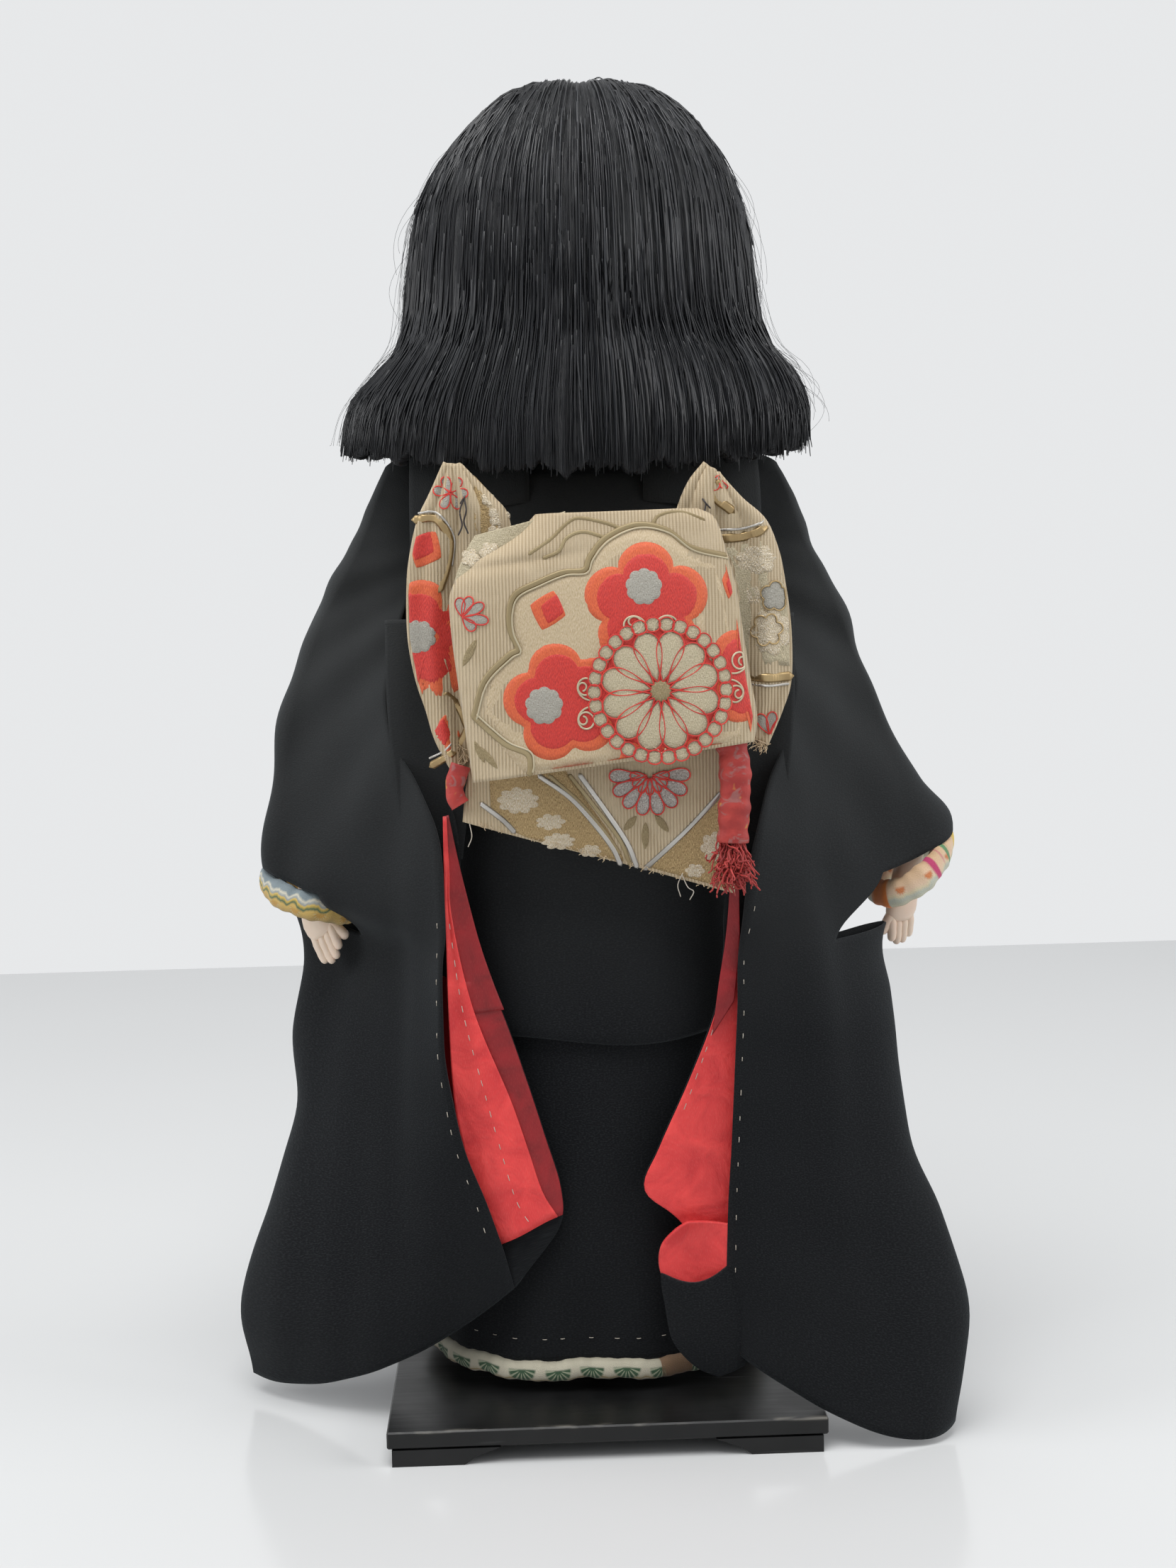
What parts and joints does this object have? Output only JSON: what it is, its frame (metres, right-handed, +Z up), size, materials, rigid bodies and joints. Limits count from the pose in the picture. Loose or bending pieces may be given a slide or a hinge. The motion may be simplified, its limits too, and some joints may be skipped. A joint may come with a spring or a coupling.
{
  "type": "ichimatsu doll",
  "caption": "Standing ichimatsu doll with bobbed black hair, long-sleeved black crepe kimono and brocade obi bow, on a lacquered board.",
  "frame": {"origin": "on the table, under the middle of the whole piece", "axes": "+Z up; +Y out of the doll's back, the side in the picture; +X towards the doll's own left hand"},
  "size_m": [0.2507, 0.1469, 0.444],
  "materials": {
    "hair": "straight black strands, satin",
    "gofun": "pressed sawdust under polished shell-white",
    "glass": "dark glass, polished",
    "white_cotton": "plain white cotton",
    "black_crepe": "black silk crepe",
    "red_silk": "red silk lining",
    "dyed_crepe": "padded crepe dyed in many colours",
    "pine_crepe": "padded cream crepe with pine sprays",
    "brocade": "cream ribbed brocade with gold and red flowers",
    "red_cord": "stuffed red crepe cord",
    "lacquer": "worn black lacquer on wood",
    "bare_wood": "bare wood",
    "sawdust_board": "pressed sawdust"
  },
  "bodies": {
    "root": {"bow_flap": "brocade", "bow_fold": "brocade", "bow_knot": "brocade", "bow_pad": "brocade", "bow_tail": "brocade", "bow_wing_left": "brocade", "bow_wing_right": "brocade", "chest": "sawdust_board", "cuff_roll_left": "dyed_crepe", "cuff_roll_right": "dyed_crepe", "eye_left": "glass", "eye_right": "glass", "forearm_left": "gofun", "forearm_right": "gofun", "hair": "hair", "head": "gofun", "hem_roll": "pine_crepe", "hips": "sawdust_board", "kimono_body": "black_crepe", "kimono_collar": "black_crepe", "lower_leg_left": "gofun", "lower_leg_right": "gofun", "obi_band": "brocade", "sash_cord": "red_cord", "sash_end_left": "red_cord", "sash_end_right": "red_cord", "sash_tassel_right": "red_cord", "sleeve_left": "black_crepe", "sleeve_lining_left": "red_silk", "sleeve_lining_right": "red_silk", "sleeve_right": "black_crepe", "sock_left": "white_cotton", "sock_right": "white_cotton", "stand_board": "lacquer", "stand_foot_back_left": "lacquer", "stand_foot_back_right": "lacquer", "stand_foot_front_left": "lacquer", "stand_foot_front_right": "lacquer", "support_post": "bare_wood", "thigh_left": "white_cotton", "thigh_right": "white_cotton", "under_collar": "white_cotton", "underskirt": "red_silk", "upper_arm_left": "white_cotton", "upper_arm_right": "white_cotton", "waist": "white_cotton", "waist_padding": "white_cotton"}
  },
  "joints": []
}
